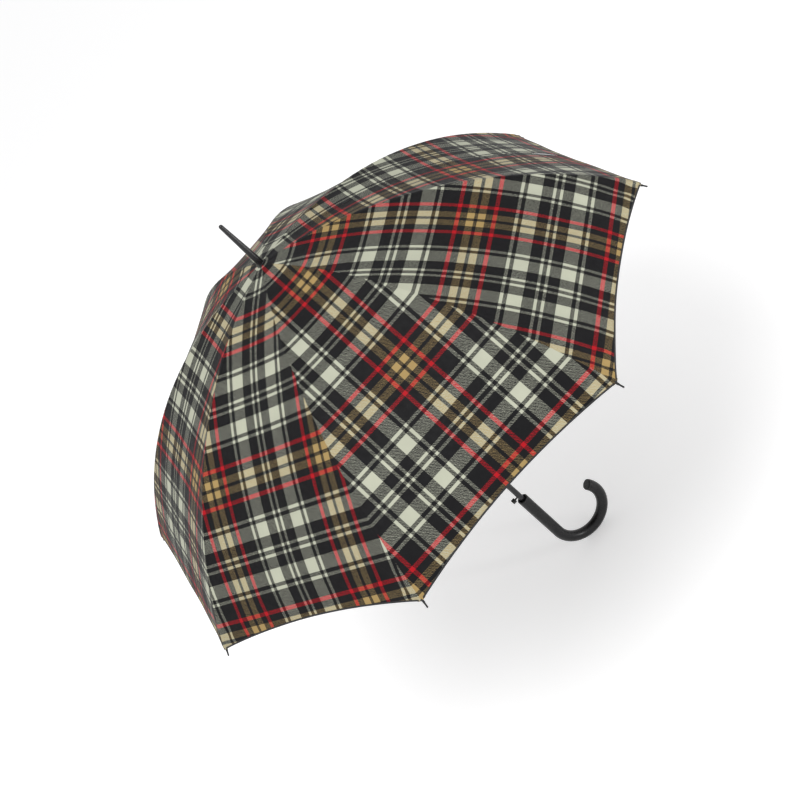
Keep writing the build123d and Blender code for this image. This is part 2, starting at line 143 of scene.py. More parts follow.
# How far the inner cloth lies below the outer where it runs on under it, and over what length
TUCK_DEPTH = 0.0006
TUCK_LENGTH = 0.0015


class UmbrellaCanopySizes(bpy.types.PropertyGroup):
    """The canopy's sizes; the ribs follow one circular arc, measured along from the crown."""

    rib_length: bpy.props.FloatProperty(
        name="Rib length", description="Length of the cloth along a rib", default=0.570, unit="LENGTH"
    )
    bracket_arc: bpy.props.FloatProperty(
        name="Bracket place",
        description="Length along the rib to the stretcher's bracket, where the rib flexes",
        default=0.283,
        unit="LENGTH",
    )
    crown_slope: bpy.props.FloatProperty(
        name="Crown slope",
        description="The rib's fall at the crown",
        default=math.radians(5),
        subtype="ANGLE",
    )
    rim_slope: bpy.props.FloatProperty(
        name="Rim slope",
        description="The rib's fall at the rim",
        default=math.radians(55),
        subtype="ANGLE",
    )
    crown_radius: bpy.props.FloatProperty(
        name="Crown radius", description="Where the panels start", default=0.012, unit="LENGTH"
    )
    scallop: bpy.props.FloatProperty(
        name="Scallop",
        description="How far the rim curves in between tips",
        default=0.016,
        unit="LENGTH",
    )
    hollow: bpy.props.FloatProperty(
        name="Hollow",
        description="How far a stretched panel is pulled in between its ribs",
        default=0.0045,
        unit="LENGTH",
    )
    overlap: bpy.props.FloatProperty(
        name="Overlap",
        description="How far the inner cloth runs on under the outer cloth in the middle of a panel",
        default=0.014,
        unit="LENGTH",
    )
    cloth: bpy.props.FloatProperty(
        name="Cloth", description="Thickness of the cloth", default=0.00035, unit="LENGTH"
    )
    hem: bpy.props.FloatProperty(
        name="Hem", description="Width of the black hem", default=0.0022, unit="LENGTH"
    )
    seam: bpy.props.FloatProperty(
        name="Seam", description="Half width of the felled seam on a rib", default=0.0070, unit="LENGTH"
    )
    thread: bpy.props.FloatProperty(
        name="Thread", description="Radius of the threads", default=0.00035, unit="LENGTH"
    )


class UmbrellaClothColours(bpy.types.PropertyGroup):
    """The dyed threads' colours, as they are seen on a display."""

    black: bpy.props.FloatVectorProperty(
        name="Black",
        description="The ground colour",
        default=(0.105, 0.103, 0.112),
        subtype="COLOR_GAMMA",
    )
    red: bpy.props.FloatVectorProperty(
        name="Red", description="The red stripe", default=(0.82, 0.095, 0.15), subtype="COLOR_GAMMA"
    )
    tan: bpy.props.FloatVectorProperty(
        name="Tan",
        description="The paired tan stripes",
        default=(0.77, 0.65, 0.42),
        subtype="COLOR_GAMMA",
    )
    white: bpy.props.FloatVectorProperty(
        name="Ivory", description="The ivory stripes", default=(0.86, 0.87, 0.78), subtype="COLOR_GAMMA"
    )
    twill: bpy.props.FloatProperty(
        name="Twill", description="Pitch of the twill's diagonal lines", default=0.0027, unit="LENGTH"
    )


class UmbrellaFittingSizes(bpy.types.PropertyGroup):
    """Sizes of the handle, button and ferrule that the frame's boxes don't give."""

    crook_sweep: bpy.props.FloatProperty(
        name="Crook sweep",
        description="How far the crook turns",
        default=math.radians(205),
        subtype="ANGLE",
    )
    cup_radius: bpy.props.FloatProperty(
        name="Cup radius",
        description="Radius of the recess round the shaft",
        default=0.0074,
        unit="LENGTH",
    )
    cup_depth: bpy.props.FloatProperty(
        name="Cup depth", description="Depth of the recess round the shaft", default=0.007, unit="LENGTH"
    )
    rim_round: bpy.props.FloatProperty(
        name="Rim round", description="Rounding of the grip's top edge", default=0.0015, unit="LENGTH"
    )
    ferrule_base: bpy.props.FloatProperty(
        name="Ferrule base", description="Radius of the ferrule's collar", default=0.0054, unit="LENGTH"
    )
    ferrule_tip: bpy.props.FloatProperty(
        name="Ferrule tip", description="Radius of the ferrule's point", default=0.0033, unit="LENGTH"
    )
    collar: bpy.props.FloatProperty(
        name="Collar",
        description="Length of the ferrule's straight collar",
        default=0.010,
        unit="LENGTH",
    )


class UmbrellaStageSettings(bpy.types.PropertyGroup):
    """The camera's place and the light."""

    target: bpy.props.FloatVectorProperty(
        name="Target",
        description="The point that the camera looks at",
        default=(-0.014, -0.144, 0.463),
        subtype="XYZ",
        unit="LENGTH",
    )
    distance: bpy.props.FloatProperty(
        name="Distance", description="From the camera to the target", default=1.950, unit="LENGTH"
    )
    azimuth: bpy.props.FloatProperty(
        name="Azimuth",
        description="Turn of the camera about the shaft",
        default=math.radians(-0.1),
        subtype="ANGLE",
    )
    elevation: bpy.props.FloatProperty(
        name="Elevation",
        description="Height of the camera above the horizon",
        default=math.radians(32.1),
        subtype="ANGLE",
    )
    roll: bpy.props.FloatProperty(
        name="Roll",
        description="Turn of the camera about its own line of sight",
        default=math.radians(48.2),
        subtype="ANGLE",
    )
    lens: bpy.props.FloatProperty(
        name="Lens", description="Focal length in millimetres", default=60.0, min=1.0
    )
    key: bpy.props.FloatProperty(
        name="Key light", description="Power of the large soft light", default=40.0, unit="POWER"
    )
    strip: bpy.props.FloatProperty(
        name="Strip light",
        description="Power of the low strip beside the handle",
        default=5.0,
        unit="POWER",
    )
    surround: bpy.props.FloatProperty(
        name="Surround", description="Brightness of the white surround", default=0.70, min=0.0
    )
    floor_glow: bpy.props.FloatProperty(
        name="Floor glow",
        description="Light that the floor gives off, to stay pale",
        default=0.32,
        min=0.0,
    )
    floor: bpy.props.FloatVectorProperty(
        name="Floor", description="Colour of the floor", default=(0.93, 0.93, 0.935), subtype="COLOR"
    )


# ---- Materials ----


def add_node(tree, kind, inputs=(), **settings):
    """A new shader node, with its settings, and inputs given as numbers or as sockets to link."""
    node = tree.nodes.new(kind)
    for key, value in settings.items():
        setattr(node, key, value)
    for key, value in dict(inputs).items():
        if isinstance(value, bpy.types.NodeSocket):
            tree.links.new(value, node.inputs[key])
        else:
            node.inputs[key].default_value = value
    return node


def calculate(tree, operation, first, second=0.0):
    """The result of a Math node."""
    return add_node(tree, "ShaderNodeMath", {0: first, 1: second}, operation=operation).outputs[0]


def empty_material(name):
    """A material with only a Principled shader and its output."""
    made = bpy.data.materials.new(name)
    made.use_nodes = True
    tree = made.node_tree
    tree.nodes.clear()
    shader = add_node(tree, "ShaderNodeBsdfPrincipled")
    output = add_node(tree, "ShaderNodeOutputMaterial")
    tree.links.new(shader.outputs["BSDF"], output.inputs["Surface"])
    return made, tree, shader


def varied(tree, place, scale, low, high):
    """A number that wanders between low and high over the surface."""
    cloud = add_node(tree, "ShaderNodeTexNoise", {"Vector": place, "Scale": scale, "Detail": 4.0})
    spread = add_node(
        tree,
        "ShaderNodeMapRange",
        {"Value": cloud.outputs["Fac"], "From Min": 0.3, "From Max": 0.7, "To Min": low, "To Max": high},
    )
    return spread.outputs["Result"]


def mixed_colour(tree, factor, first, second):
    """A colour between two, each given as a colour or as a socket."""
    mix = add_node(tree, "ShaderNodeMix", {"Factor": factor, 6: first, 7: second}, data_type="RGBA")
    return mix.outputs[2]


def bumped(tree, shader, height, distance, strength=1.0):
    """Gives the shader a bump of that height map."""
    bump = add_node(
        tree, "ShaderNodeBump", {"Height": height, "Distance": distance, "Strength": strength}
    )
    tree.links.new(bump.outputs["Normal"], shader.inputs["Normal"])


def solid_finish(name, colour, metallic, rough_low, rough_high, grain, grain_height, coat=0.0):
    """A moulded, painted or plated finish: tone and gloss that wander, over a fine grain."""
    made, tree, shader = empty_material(name)
    place = add_node(tree, "ShaderNodeTexCoord").outputs["Object"]
    tone = varied(tree, place, 90.0, 0.0, 1.0)
    light = [min(1.0, c * 1.25 + 0.004) for c in colour]
    seen = mixed_colour(tree, tone, (*colour, 1), (*light, 1))
    tree.links.new(seen, shader.inputs["Base Color"])
    tree.links.new(varied(tree, place, 260.0, rough_low, rough_high), shader.inputs["Roughness"])
    shader.inputs["Metallic"].default_value = metallic
    shader.inputs["Specular IOR Level"].default_value = 0.36
    shader.inputs["Coat Weight"].default_value = coat
    shader.inputs["Coat Roughness"].default_value = 0.25
    cloud = add_node(tree, "ShaderNodeTexNoise", {"Vector": place, "Scale": grain, "Detail": 3.0})
    bumped(tree, shader, cloud.outputs["Fac"], grain_height)
    return made


def grip_finish():
    """Satin black moulding with a fine grain and the mould's parting line along the crook."""
    made = solid_finish("satin_black_grip", (0.005, 0.005, 0.0055), 0.0, 0.24, 0.36, 1500.0, 0.00005)
    tree = made.node_tree
    shader = next(n for n in tree.nodes if n.type == "BSDF_PRINCIPLED")
    place = add_node(tree, "ShaderNodeTexCoord").outputs["Object"]
    sideways = add_node(tree, "ShaderNodeSeparateXYZ", {0: place}).outputs["Y"]
    ridge = add_node(
        tree,
        "ShaderNodeMapRange",
        {
            "Value": calculate(tree, "ABSOLUTE", sideways),
            "From Min": 0.0,
            "From Max": PARTING_LINE,
            "To Min": 1.0,
            "To Max": 0.0,
        },
        interpolation_type="SMOOTHSTEP",
    ).outputs["Result"]
    grain = shader.inputs["Normal"].links[0].from_node
    parting = add_node(
        tree,
        "ShaderNodeBump",
        {"Height": ridge, "Distance": 0.00012, "Normal": grain.outputs["Normal"]},
    )
    tree.links.new(parting.outputs["Normal"], shader.inputs["Normal"])
    return made


def thread_colours(tree, place):
    """The colour and the cover of the threads that run across one of the pattern's two directions."""
    folded = calculate(tree, "PINGPONG", place, 1.0)
    ramp = add_node(tree, "ShaderNodeValToRGB", {"Fac": folded})
    stops = ramp.color_ramp
    stops.interpolation = "CONSTANT"
    colours = bpy.context.scene.umbrella_colours
    start = 0.0
    for number, (name, width) in enumerate(SETT):
        position = start / (HALF_SETT * 1000)
        stop = stops.elements[0] if number == 0 else stops.elements.new(position)
        stop.position = position
        stop.color = (*getattr(colours, name), COVER[name])
        start += width
    last_name = SETT[-1][0]
    stops.elements[-1].color = (*getattr(colours, last_name), COVER[last_name])
    return ramp.outputs["Color"], ramp.outputs["Alpha"]


def tartan(name, shade, grey):
    """Woven tartan on the piece's own UV map, where one unit is half the sett.

    Shade scales how light it is, and grey is the share of its colour that is lost.
    """
    made, tree, shader = empty_material(name)
    place = add_node(tree, "ShaderNodeUVMap", uv_map="UVMap").outputs["UV"]
    split = add_node(tree, "ShaderNodeSeparateXYZ", {0: place})
    across, along = split.outputs["X"], split.outputs["Y"]
    lines = HALF_SETT / bpy.context.scene.umbrella_colours.twill
    diagonal = calculate(tree, "MULTIPLY", calculate(tree, "SUBTRACT", across, along), lines * math.tau)
    uneven = varied(tree, place, 42.0, -2.2, 2.2)
    twill = calculate(tree, "SINE", calculate(tree, "ADD", diagonal, uneven))
    warp, warp_cover = thread_colours(tree, across)
    weft, weft_cover = thread_colours(tree, along)
    even = calculate(tree, "MULTIPLY_ADD", twill, 0.36)
    tree.links.new(varied(tree, place, 70.0, 0.36, 0.64), even.node.inputs[2])
    lead = calculate(tree, "MULTIPLY", calculate(tree, "SUBTRACT", weft_cover, warp_cover), COVER_SHIFT)
    woven = mixed_colour(tree, calculate(tree, "SUBTRACT", even, lead), warp, weft)
    seen = add_node(tree, "ShaderNodeGamma", {"Color": woven, "Gamma": 2.2}).outputs["Color"]
    worn = varied(tree, place, 2.3, 0.93 * shade, 1.05 * shade)
    faded = add_node(
        tree,
        "ShaderNodeHueSaturation",
        {"Color": seen, "Saturation": 1.0 - grey, "Value": worn},
    ).outputs["Color"]
    tree.links.new(faded, shader.inputs["Base Color"])
    tree.links.new(varied(tree, place, 11.0, 0.55, 0.70), shader.inputs["Roughness"])
    shader.inputs["Specular IOR Level"].default_value = 0.16
    shader.inputs["Sheen Weight"].default_value = 0.02
    shader.inputs["Sheen Roughness"].default_value = 0.5
    creases = varied(tree, place, 26.0, 0.0, 1.0)
    height = calculate(tree, "MULTIPLY_ADD", twill, 0.25)
    tree.links.new(creases, height.node.inputs[2])
    bumped(tree, shader, height, 0.00025, 0.55)
    return made


def black_cloth():
    """The hem's black binding, with its row of stitches."""
    made, tree, shader = empty_material("black_hem_cloth")
    place = add_node(tree, "ShaderNodeUVMap", uv_map="UVMap").outputs["UV"]
    split = add_node(tree, "ShaderNodeSeparateXYZ", {0: place})
    stitch = calculate(tree, "FRACT", split.outputs["X"])
    on_stitch = calculate(tree, "LESS_THAN", stitch, 0.72)
    off_row = calculate(tree, "ABSOLUTE", calculate(tree, "SUBTRACT", split.outputs["Y"], 0.35))
    on_row = calculate(tree, "LESS_THAN", off_row, 0.09)
    thread = calculate(tree, "MULTIPLY", on_stitch, on_row)
    seen = mixed_colour(tree, thread, (0.012, 0.012, 0.013, 1), (0.035, 0.035, 0.037, 1))
    tree.links.new(seen, shader.inputs["Base Color"])
    shader.inputs["Roughness"].default_value = 0.7
    bumped(tree, shader, thread, 0.0002)
    return made


def finish_of(name):
    """The finish of that name, made the first time that it is asked for."""
    made = bpy.data.materials.get(name)
    if made is None:
        if name in SOLID_FINISHES:
            made = solid_finish(name, *SOLID_FINISHES[name])
        elif name in TARTAN_FINISHES:
            made = tartan(name, *TARTAN_FINISHES[name])
        else:
            made = {"black_hem_cloth": black_cloth, "satin_black_grip": grip_finish}[name]()
    return made


# ---- Pieces ----


def add_piece(name, bm, finishes, body):
    """Makes a finished mesh a piece of the umbrella, riding on a body of the frame."""
    for edge in bm.edges:
        edge.smooth = not edge.is_boundary and edge.calc_face_angle(0.0) < SHARP_ANGLE
    mesh = bpy.data.meshes.new(name)
    bm.to_mesh(mesh)
    bm.free()
    for finish in finishes:
        mesh.materials.append(finish_of(finish))
    for face in mesh.polygons:
        face.use_smooth = True
    piece = bpy.data.objects.new(name, mesh)
    bpy.context.scene.collection.objects.link(piece)
    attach(piece, body)
    return piece


def thicken(piece, thickness, inside):
    """Gives a sheet its thickness, inwards from its outer face."""
    wall = piece.modifiers.new("thickness", "SOLIDIFY")
    wall.thickness = thickness
    wall.offset = -1.0
    wall.material_offset = inside


def round_edges(piece, width, segments=3):
    """Rounds a piece's sharp edges."""
    bevel = piece.modifiers.new("rounding", "BEVEL")
    bevel.width = width
    bevel.segments = segments
    bevel.limit_method = "ANGLE"
    bevel.angle_limit = math.radians(35)


def mapped_grid(bm, columns, rows, place, pattern):
    """Adds a grid to bm and carries its (across, along) shares from 0 to 1 to their places and UVs."""
    uv = bm.loops.layers.uv.get("UVMap") or bm.loops.layers.uv.new("UVMap")
    made = bmesh.ops.create_grid(bm, x_segments=columns, y_segments=rows, size=0.5)["verts"]
    shares = {v: (v.co.x + 0.5, v.co.y + 0.5) for v in made}
    for face in {f for v in made for f in v.link_faces}:
        side = face.calc_center_median().x
        for loop in face.loops:
            loop[uv].uv = pattern(*shares[loop.vert], side)
    for vert, share in shares.items():
        vert.co = place(*share)
    return made


def face_away(bm):
    """Turns all of a sheet's faces away from the origin, which lies behind the whole canopy."""
    bm.normal_update()
    outwards = sum(f.calc_center_median().dot(f.normal) for f in bm.faces)
    if outwards < 0:
        bmesh.ops.reverse_faces(bm, faces=bm.faces[:])


def cloth_piece(name, body, grid, place, pattern, thickness, finishes=BOTH_SIDES):
    """Makes a sheet of cloth from a mapped grid of (columns, rows), with its thickness inside."""
    bm = bmesh.new()
    mapped_grid(bm, *grid, place, pattern)
    face_away(bm)
    piece = add_piece(name, bm, finishes, body)
    thicken(piece, thickness, inside=len(finishes) - 1)
    return piece


def rounded(points, corner, radius, steps):
    """A profile's points with one corner replaced by a round of that radius."""
    before, at, after = (Vector(points[corner + k]) for k in (-1, 0, 1))
    to_before, to_after = (before - at).normalized(), (after - at).normalized()
    half = to_before.angle(to_after) / 2
    centre = at + (to_before + to_after).normalized() * radius / math.sin(half)
    start = at + to_before * radius / math.tan(half)
    end = at + to_after * radius / math.tan(half)
    spread = (start - centre).angle_signed(end - centre)
    arc = []
    for step in range(steps + 1):
        turn = Matrix.Rotation(-spread * step / steps, 2)
        arc.append(tuple(centre + turn @ (start - centre)))
    return [*points[:corner], *arc, *points[corner + 1 :]]


def lathe(bm, profile, steps=64):
    """Spins a (radius, height) profile about the Z axis."""
    verts = [bm.verts.new((r, 0, z)) for r, z in profile]
    edges = [bm.edges.new(pair) for pair in zip(verts, verts[1:])]
    bmesh.ops.spin(
        bm,
        geom=verts + edges,
        cent=(0, 0, 0),
        axis=UP,
        angle=math.tau,
        steps=steps,
        use_merge=True,
    )
    bmesh.ops.remove_doubles(bm, verts=bm.verts[:], dist=1e-7)


def outward_normals(bm):
    """Recalculates the normals of a closed shape."""
    bmesh.ops.recalc_face_normals(bm, faces=bm.faces[:])


class CanopyShape:
    """The canopy's surface: panels stretched between ribs that follow one circular arc."""

    # Heights of the cloth's slow waves, of the puckers at a seam and of the folds at a tip, the
    # puckers' pitch along the rib, and how far puckers and folds reach
    sway, pucker, fold = 0.0022, 0.00016, 0.0011
    pucker_pitch, pucker_reach, fold_reach = 0.019, 0.004, 0.085

    def __init__(self, sizes):
        self.sizes = sizes
        self.turn = (sizes.rim_slope - sizes.crown_slope) / sizes.rib_length
        self.radius = 1 / self.turn
        self.centre_r = sizes.crown_radius - self.radius * math.sin(sizes.crown_slope)
        self.centre_z = CANOPY_TOP - self.radius * math.cos(sizes.crown_slope)

    def slope(self, arc):
        return self.sizes.crown_slope + self.turn * arc

    def rib(self, arc, proud=0.0):
        """(distance from the shaft, height) of a point on a rib's line, or proud of it."""
        slope, radius = self.slope(arc), self.radius + proud
        return self.centre_r + radius * math.sin(slope), self.centre_z + radius * math.cos(slope)

    def half_width(self, arc):
        """Half the width of a panel."""
        return self.rib(arc)[0] * math.sin(HALF_STEP)

    def middle_length(self, arc):
        """Length along the middle of a panel, which falls less steeply than its ribs."""
        # A half would do for a slight fall; 0.52 makes up for the terms left out
        start, slope = self.sizes.crown_slope, self.slope(arc)
        level_share = arc / 2 + (math.sin(2 * slope) - math.sin(2 * start)) / (4 * self.turn)
        return arc - 0.52 * math.sin(HALF_STEP) ** 2 * level_share

    def rim(self, share):
        """The arc at which the scalloped rim lies, share of the way from a panel's middle to a rib."""
        return self.sizes.rib_length - self.sizes.scallop * (1 - share * share)

    def lift(self, panel, arc, share):
        """How far the stretched cloth stands off the flat panel: its hollow and its small folds."""
        along = min(max(arc / self.sizes.rib_length, 0.0), 1.0)
        from_rib = (1 - abs(share)) * self.half_width(arc)
        from_rim = max(self.sizes.rib_length - arc, 0.0)
        hollow = -self.sizes.hollow * math.sin(math.pi * along) * (1 - share * share)
        cloud = noise.noise(Vector((panel * 7.3, arc * 11.0, share * 1.9)))
        sway = self.sway * cloud * along * (1 - share * share)
        puckers = math.sin(math.tau * arc / self.pucker_pitch + panel)
        fading = from_rib / self.pucker_reach * math.exp(1 - from_rib / self.pucker_reach)
        to_tip = math.hypot(from_rib, from_rim)
        heading = math.atan2(from_rib, from_rim + 0.002)
        folds = math.sin(8 * heading) * math.exp(-to_tip / self.fold_reach) * min(1.0, to_tip / 0.02)
        return hollow + sway + self.pucker * puckers * fading + self.fold * folds

    def point(self, panel, arc, share, proud=0.0):
        """A point on a panel; share runs from -1 at its first rib to 1 at its second."""
        reach, height = self.rib(arc)
        azimuth, slope = RIB_STEP * panel, self.slope(arc)
        middle = Vector((math.cos(azimuth), math.sin(azimuth), 0))
        around = Vector((-math.sin(azimuth), math.cos(azimuth), 0))
        normal = middle * math.sin(slope) + UP * math.cos(slope) * math.cos(HALF_STEP)
        flat = middle * reach * math.cos(HALF_STEP) + UP * height
        flat += around * share * reach * math.sin(HALF_STEP)
        return flat + normal.normalized() * (self.lift(panel, arc, share) + proud)

    def pattern(self, panel, arc, share):
        """The place in the tartan of a point on a panel, in halves of the sett."""
        across = share * self.half_width(arc) - PANEL_SHIFTS[(panel - 1) % len(RIBS)]
        along = self.middle_length(arc) - SETT_CENTRE_ARC
        return across / HALF_SETT, along / HALF_SETT

    def cut_area(self, arc_from, arc_to):
        """Flat area of half a panel between two lengths along the rib."""
        middle = self.half_width((arc_from + arc_to) / 2)
        ends = self.half_width(arc_from) + self.half_width(arc_to)
        length = self.middle_length(arc_to) - self.middle_length(arc_from)
        return (ends + 4 * middle) / 6 * length

    def rib_place(self, rib, arc, proud=0.0, sideways=0.0):
        """A point at a rib's azimuth, proud of its line and sideways from its plane."""
        reach, height = self.rib(arc, proud)
        azimuth = rib_azimuth(rib)
        outwards = Vector((math.cos(azimuth), math.sin(azimuth), 0))
        around = Vector((-math.sin(azimuth), math.cos(azimuth), 0))
        return outwards * reach + around * sideways + UP * height


def rib_azimuth(rib):
    return HALF_STEP + RIB_STEP * (rib - 1)


def fold(piece, rib, side, way):
    """Works out the axis on which a half panel would fold on to its rib, and gives the piece its own
    mesh; nothing is flattened.
    """
    direction, offset, keep = way
    axis = Vector(direction).normalized()
    axis.y *= side
    axis = Matrix.Rotation(rib_azimuth(rib), 3, "Z") @ axis
    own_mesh(piece)


class UMBRELLA_OT_panels(bpy.types.Operator):
    """The eight tartan panels as half panels, with the rim's black hem"""

    bl_idname = "umbrella.panels"
    bl_label = "Canopy panels"

    hem_thickness, hem_rise, hem_overhang = 0.00085, 0.00025, 0.0004
    stitch_length = 0.0028
    # How strongly the cloth's columns crowd towards the rib
    crowding = 1.6

    def execute(self, context):
        shape = CanopyShape(context.scene.umbrella_canopy)
        for rib in RIBS:
            for side, word in ((1, "left"), (-1, "right")):
                self.half_panel(shape, rib, side, word)
        return {"FINISHED"}

    def half_panel(self, shape, rib, side, word):
        """Both lengths of the cloth on one side of a rib, up to the middle of the panel there."""
        sizes = shape.sizes
        panel = rib if side > 0 else rib - 1

        def share_at(across):
            return -side * (1 - (1 - across) ** self.crowding)

        def inner_arc(across, along):
            return along * (sizes.bracket_arc + sizes.overlap * (1 - across))

        def outer_arc(across, along):
            rim = shape.rim(share_at(across))
            return sizes.bracket_arc + along * (rim - sizes.bracket_arc)

        def hem_arc(across, along):
            rim = shape.rim(share_at(across))
            return rim - sizes.hem + along * (sizes.hem + self.hem_overhang)

        def on_panel(arc_at, rise=0.0, tuck=0.0):
            def place(across, along):
                arc = arc_at(across, along)
                under = tuck * min(max(arc - sizes.bracket_arc, 0) / TUCK_LENGTH, 1)
                return shape.point(panel, arc, share_at(across), rise - under)

            return place

        def woven(arc_at):
            def pattern(across, along, face_side):
                return shape.pattern(panel, arc_at(across, along), share_at(across))

            return pattern

        def stitches(across, along, face_side):
            return across * shape.half_width(sizes.rib_length) / self.stitch_length, along

        half, end_body, grid = f"{rib}_{word}", f"rib_end_{rib}", (CLOTH_COLUMNS, CLOTH_ROWS)
        place, pattern = on_panel(inner_arc, tuck=TUCK_DEPTH), woven(inner_arc)
        inner = cloth_piece(f"panel_inner_{half}", f"rib_{rib}", grid, place, pattern, sizes.cloth)
        place, pattern = on_panel(outer_arc), woven(outer_arc)
        outer = cloth_piece(f"panel_outer_{half}", end_body, grid, place, pattern, sizes.cloth)
        place, grid, black = on_panel(hem_arc, self.hem_rise), (CLOTH_COLUMNS, 3), ["black_hem_cloth"]
        hem = cloth_piece(f"hem_{half}", end_body, grid, place, stitches, self.hem_thickness, black)
        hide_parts(f"canopy_{rib}")
        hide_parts(f"canopy_{rib}")
        fold(inner, rib, side, FOLD_INNER)
        fold(outer, rib, side, FOLD_OUTER)
        fold(hem, rib, side, FOLD_OUTER)
        self.declare_sheets(shape, rib, inner, outer, hem)

    def declare_sheets(self, shape, rib, inner, outer, hem):
        """Works out the flat sizes of both lengths of a half panel, but keeps and states none of them.
        """
        sizes = shape.sizes
        split, end = sizes.bracket_arc, sizes.rib_length
        middle, total = shape.middle_length(split), shape.middle_length(end)
        scallop_area = sizes.scallop * shape.half_width(end) * 2 / 3
        shape.half_width(split)
        shape.cut_area(0, split)
        shape.half_width(end)
        shape.cut_area(split, end) - scallop_area


class UMBRELLA_OT_seams(bpy.types.Operator):
    """The felled seam along each rib, where two panels are sewn together"""

    bl_idname = "umbrella.seams"
    bl_label = "Rib seams"

    # Heights of the seam over the panels: all of it, its two shoulders, and the crease between them
    rise, shoulder, crease = 0.00010, 0.00022, 0.00012
    thickness = 0.00075

    def execute(self, context):
        shape = CanopyShape(context.scene.umbrella_canopy)
        sizes = shape.sizes
        for rib in RIBS:
            self.seam(shape, rib, "seam_inner", f"rib_{rib}", 0.0, sizes.bracket_arc)
            self.seam(shape, rib, "seam_outer", f"rib_end_{rib}", sizes.bracket_arc, sizes.rib_length)
        return {"FINISHED"}

    def seam(self, shape, rib, name, body, arc_from, arc_to):
        """A strip of both panels' cloth over the rib, with a crease along the row of stitches."""

        def share_at(arc, offset):
            inwards = min(abs(offset) * shape.sizes.seam / shape.half_width(arc), 0.9)
            return 1 - inwards

        def arc_at(along):
            return arc_from + along * (arc_to - arc_from)

        def place(across, along):
            offset, arc = 2 * across - 1, arc_at(along)
            crease = self.crease * math.exp(-((offset / 0.14) ** 2))
            shoulder = self.shoulder * math.exp(-(((abs(offset) - 0.45) / 0.28) ** 2))
            proud = self.rise + shoulder - crease
            if offset >= 0:
                return shape.point(rib, arc, -share_at(arc, offset), proud)
            return shape.point(rib - 1, arc, share_at(arc, offset), proud)

        def pattern(across, along, face_side):
            offset, arc = 2 * across - 1, arc_at(along)
            if face_side > 0:
                return shape.pattern(rib, arc, -share_at(arc, offset))
            return shape.pattern(rib - 1, arc, share_at(arc, offset))

        seam = cloth_piece(f"{name}_{rib}", body, (16, 70), place, pattern, self.thickness)
        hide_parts(f"canopy_{rib}")


class UMBRELLA_OT_crown(bpy.types.Operator):
    """The crown of the canopy, where the eight panels meet under the ferrule's washer"""

    bl_idname = "umbrella.crown"
    bl_label = "Crown cloth"

    reach, rise, pleat_depth, thickness = 0.016, 0.00042, 0.00035, 0.0003

    def execute(self, context):
        shape = CanopyShape(context.scene.umbrella_canopy)
        inner, outer = SHAFT_RADIUS + 0.0002, self.reach
        start, end = inner - shape.sizes.crown_radius, outer - shape.sizes.crown_radius

        def arc_at(along):
            return start + along * (end - start)

        bm = bmesh.new()
        for panel in RIBS:

            def place(across, along):
                share = 2 * across - 1
                pleat = self.pleat_depth * (1 - share * share)
                return shape.point(panel, arc_at(along), share, self.rise - pleat)

            def pattern(across, along, face_side):
                return shape.pattern(panel, arc_at(along), 2 * across - 1)

            mapped_grid(bm, 10, 10, place, pattern)
        bmesh.ops.remove_doubles(bm, verts=bm.verts[:], dist=1e-6)
        face_away(bm)
        crown = add_piece("crown_cloth", bm, BOTH_SIDES, "root")
        thicken(crown, self.thickness, inside=1)
        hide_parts("crown_patch")
        return {"FINISHED"}


class UMBRELLA_OT_strap(bpy.types.Operator):
    """The closing strap, laid back over one rib's seam"""

    bl_idname = "umbrella.strap"
    bl_label = "Closing strap"

    length = 0.165
    width = 0.016
    thickness = 0.0009
    from_rim = 0.008
    top_face = 0.00155

    def execute(self, context):
        shape = CanopyShape(context.scene.umbrella_canopy)
        end = shape.sizes.rib_length - self.from_rim

        def place(across, along):
            offset, to_end = 2 * across - 1, along * self.length
            nose = self.width * 0.45
            reach = 1.0
            if to_end < nose:
                reach = math.sqrt(max(1 - (1 - to_end / nose) ** 2, 0.02))
            sideways = offset * reach * self.width / 2
            droop = 0.0010 * (offset * reach) ** 2
            wave = 0.0002 * math.sin(along * 23) * offset
            arc = end - self.length + to_end
            return shape.rib_place(STRAP_RIB, arc, self.top_face - droop + wave, sideways)

        def pattern(across, along, face_side):
            return (across * self.width + 0.05) / HALF_SETT, along * self.length / HALF_SETT

        body, finishes = f"rib_end_{STRAP_RIB}", ["tartan_outside"]
        strap = cloth_piece("closing_strap", body, (12, 60), place, pattern, self.thickness, finishes)
        round_edges(strap, 0.00025, 2)
        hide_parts("tie_strap")
        return {"FINISHED"}


class UMBRELLA_OT_threads(bpy.types.Operator):
    """The loops of thread that tie the canopy to the ribs, and the bindings at the rib tips"""

    bl_idname = "umbrella.threads"
    bl_label = "Thread ties"

    loop_depth = 0.0058
    tie_width, tie_pitch = 0.0046, 0.0007
    binding_width, binding_pitch, binding_start = 0.0044, 0.00068, 0.0045
    inner_ties = (0.075, 0.165, 0.250)
    outer_ties = (0.345, 0.430, 0.510)

    def execute(self, context):
        shape = CanopyShape(context.scene.umbrella_canopy)
        start = shape.sizes.rib_length - self.binding_start
        binding = [start + step * self.binding_pitch for step in range(6)]
        inner, outer = self.turns(self.inner_ties), self.turns(self.outer_ties)
        for rib in RIBS:
            self.loops(shape, rib, "ties_inner", f"rib_{rib}", inner, self.tie_width)
            self.loops(shape, rib, "ties_outer", f"rib_end_{rib}", outer, self.tie_width)
            self.loops(shape, rib, "tip_binding", f"rib_end_{rib}", binding, self.binding_width)
        return {"FINISHED"}

    def turns(self, ties):
        """The places along a rib of three turns of thread for each tie."""
        return [arc + step * self.tie_pitch for arc in ties for step in (-1, 0, 1)]

    def loops(self, shape, rib, name, body, arcs, width):
        """One piece of loops of thread at those places along a rib."""
        bm = bmesh.new()
        for arc in arcs:
            thread_loop(bm, shape, rib, arc, self.loop_depth, width)
        outward_normals(bm)
        add_piece(f"{name}_{rib}", bm, ["black_thread"], body)


